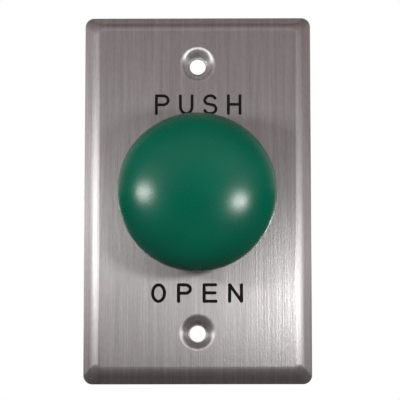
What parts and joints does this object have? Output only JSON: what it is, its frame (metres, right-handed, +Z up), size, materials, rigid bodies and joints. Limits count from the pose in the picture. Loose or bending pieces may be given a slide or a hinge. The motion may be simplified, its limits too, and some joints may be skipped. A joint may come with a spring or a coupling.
{
  "type": "mushroom push button",
  "caption": "Palm-size green mushroom push button on a brushed steel wall plate; pressing it closes one contact block and opens the other, and a spring returns it.",
  "frame": {"origin": "centre of the wall plate in the wall plane, on the button's axis and midway between the two screw holes", "axes": "+X to the right as seen from the room, +Y into the wall, +Z up; the button faces -Y and is pressed along +Y"},
  "size_m": [0.0698, 0.0682, 0.1142],
  "materials": {
    "plate_steel": "brushed",
    "cap_green": "satin",
    "bezel_metal": "satin plated",
    "seal_rubber": "matte",
    "zinc_steel": "zinc plated",
    "spring_steel": "drawn wire",
    "brass": "turned",
    "silver_contact": "stamped strip",
    "black_plastic": "moulded",
    "white_plastic": "moulded",
    "no_green_plastic": "moulded",
    "nc_red_plastic": "moulded"
  },
  "bodies": {
    "fixed": {"wall_plate": "plate_steel", "bezel_gasket": "seal_rubber", "bezel_bushing": "bezel_metal", "plunger_seal": "seal_rubber", "lock_washer": "zinc_steel", "panel_nut": "zinc_steel", "return_spring": "spring_steel", "contact_collar": "black_plastic", "collar_screws": "zinc_steel", "no_block_housing": "no_green_plastic", "no_block_cover": "no_green_plastic", "no_slider_spring": "spring_steel", "no_upper_contact": "silver_contact", "no_lower_contact": "silver_contact", "no_terminal_screws": "zinc_steel", "no_clamp_plates": "zinc_steel", "nc_block_housing": "nc_red_plastic", "nc_block_cover": "nc_red_plastic", "nc_slider_spring": "spring_steel", "nc_upper_contact": "silver_contact", "nc_lower_contact": "silver_contact", "nc_terminal_screws": "zinc_steel", "nc_clamp_plates": "zinc_steel"},
    "button": {"mushroom_cap": "cap_green", "cap_insert": "brass", "plunger": "white_plastic"},
    "no_pusher": {"no_slider": "white_plastic", "no_contact_spring": "spring_steel"},
    "nc_pusher": {"nc_slider": "white_plastic", "nc_contact_spring": "spring_steel"},
    "no_moving_contact": {"no_bridge": "silver_contact"},
    "nc_moving_contact": {"nc_bridge": "silver_contact"}
  },
  "joints": [
    {"name": "button_press", "type": "slide", "parent": "fixed", "child": "button", "axis": [0, 1, 0], "range_m": [0, 0.0045], "stiffness_N_per_m": 1200, "springref_m": -0.004, "deforming": ["return_spring"]},
    {"name": "no_slide", "type": "slide", "parent": "fixed", "child": "no_pusher", "axis": [0, 1, 0], "range_m": [0, 0.0045], "deforming": ["no_slider_spring", "no_contact_spring"]},
    {"name": "nc_slide", "type": "slide", "parent": "fixed", "child": "nc_pusher", "axis": [0, 1, 0], "range_m": [0, 0.0045], "deforming": ["nc_slider_spring", "nc_contact_spring"]},
    {"name": "no_bridge_slide", "type": "slide", "parent": "fixed", "child": "no_moving_contact", "axis": [0, 1, 0], "range_m": [0, 0.003]},
    {"name": "nc_bridge_slide", "type": "slide", "parent": "fixed", "child": "nc_moving_contact", "axis": [0, 1, 0], "range_m": [0, 0.003]}
  ],
  "couplings": [
    {"joint": "no_slide", "follows": "button_press", "ratio": 1},
    {"joint": "nc_slide", "follows": "button_press", "ratio": 1},
    {"joint": "no_bridge_slide", "follows": "button_press", "ratio": 0.66667},
    {"joint": "nc_bridge_slide", "follows": "button_press", "ratio": 0.66667}
  ]
}
